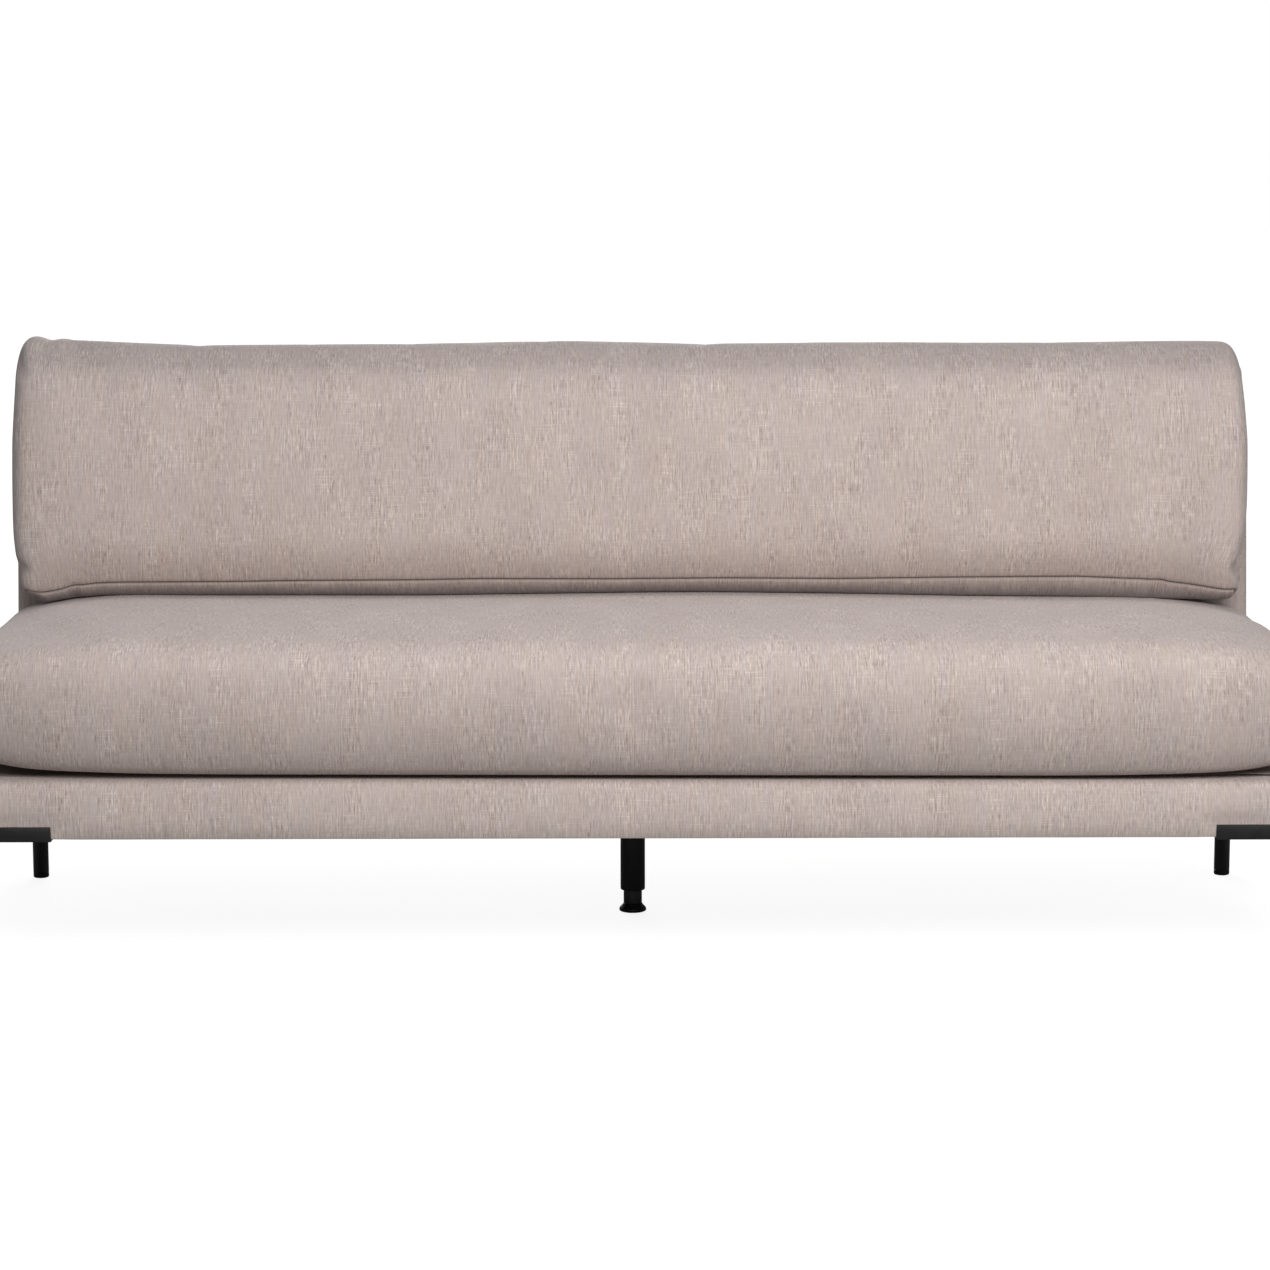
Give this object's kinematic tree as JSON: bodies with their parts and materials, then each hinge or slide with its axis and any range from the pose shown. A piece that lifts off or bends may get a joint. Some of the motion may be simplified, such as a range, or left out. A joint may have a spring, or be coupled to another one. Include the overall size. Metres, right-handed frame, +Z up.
{
  "type": "dining banquette",
  "caption": "Armless upholstered dining banquette with a loose box seat cushion, a loose back cushion on a reclined back, steel end frames with tube legs and a levelling centre leg.",
  "frame": {"origin": "on the floor, in the middle of the overall width and depth", "axes": "+X along the bench to the right of someone facing it, +Y towards the back, +Z up"},
  "size_m": [2, 0.7682, 0.867],
  "materials": {
    "upholstery": "matte",
    "lining": "matte",
    "foam": "matte",
    "fibre": "matte",
    "webbing": "matte",
    "zip_tape": "matte",
    "timber": "matte",
    "board": "matte",
    "black_steel": "satin",
    "zinc_steel": "satin",
    "black_plastic": "matte"
  },
  "bodies": {
    "bench_frame": {"back_cover": "upholstery", "base_front_border": "upholstery", "base_rear_border": "upholstery", "base_left_border": "upholstery", "base_right_border": "upholstery", "deck_cloth": "lining", "dust_cover": "lining", "deck_pad": "foam", "base_padding": "foam", "back_foam": "foam", "cross_webbing": "webbing", "long_webbing": "webbing", "base_front_rail": "timber", "base_rear_rail": "timber", "base_left_rail": "timber", "base_right_rail": "timber", "base_left_cross_rail": "timber", "base_right_cross_rail": "timber", "base_centre_rail": "timber", "corner_blocks": "timber", "back_left_post": "timber", "back_centre_post": "timber", "back_right_post": "timber", "back_top_rail": "timber", "back_lower_rails": "timber", "back_front_panel": "board", "back_rear_panel": "board", "base_rear_panel": "board", "left_end_frame": "black_steel", "right_end_frame": "black_steel", "front_left_leg": "black_steel", "front_right_leg": "black_steel", "rear_left_leg": "black_steel", "rear_right_leg": "black_steel", "centre_leg_plate": "black_steel", "centre_leg_tube": "black_steel", "end_frame_screws": "zinc_steel", "centre_leg_screws": "zinc_steel", "post_bolts": "zinc_steel", "post_tee_nuts": "zinc_steel", "leg_glides": "black_plastic", "centre_leg_insert": "black_plastic"},
    "seat_cushion": {"seat_cushion_cover": "upholstery", "seat_cushion_zip": "zip_tape", "seat_cushion_fibre_wrap": "fibre", "seat_cushion_foam_core": "foam"},
    "back_cushion": {"back_cushion_cover": "upholstery", "back_cushion_zip": "zip_tape", "back_cushion_fibre_wrap": "fibre", "back_cushion_foam_core": "foam"},
    "foot": {"levelling_foot": "black_plastic"},
    "spindle": {"levelling_spindle": "black_steel"}
  },
  "joints": [
    {"name": "seat_cushion_lift", "type": "slide", "parent": "bench_frame", "child": "seat_cushion", "axis": [0, 0, 1], "range_m": [0, 0.15]},
    {"name": "back_cushion_lift", "type": "slide", "parent": "seat_cushion", "child": "back_cushion", "axis": [0, 0, 1], "range_m": [0, 0.15]},
    {"name": "foot_slide", "type": "slide", "parent": "bench_frame", "child": "foot", "axis": [0, 0, 1], "range_m": [-0.0091, 0.0121]},
    {"name": "spindle_turn", "type": "hinge", "parent": "foot", "child": "spindle", "pos_m": [0, 0.00588, 0], "axis": [0, 0, 1], "range_deg": [-1620, 2160]}
  ],
  "couplings": [
    {"joint": "foot_slide", "follows": "spindle_turn", "m_per_rad": 0.00031831}
  ]
}
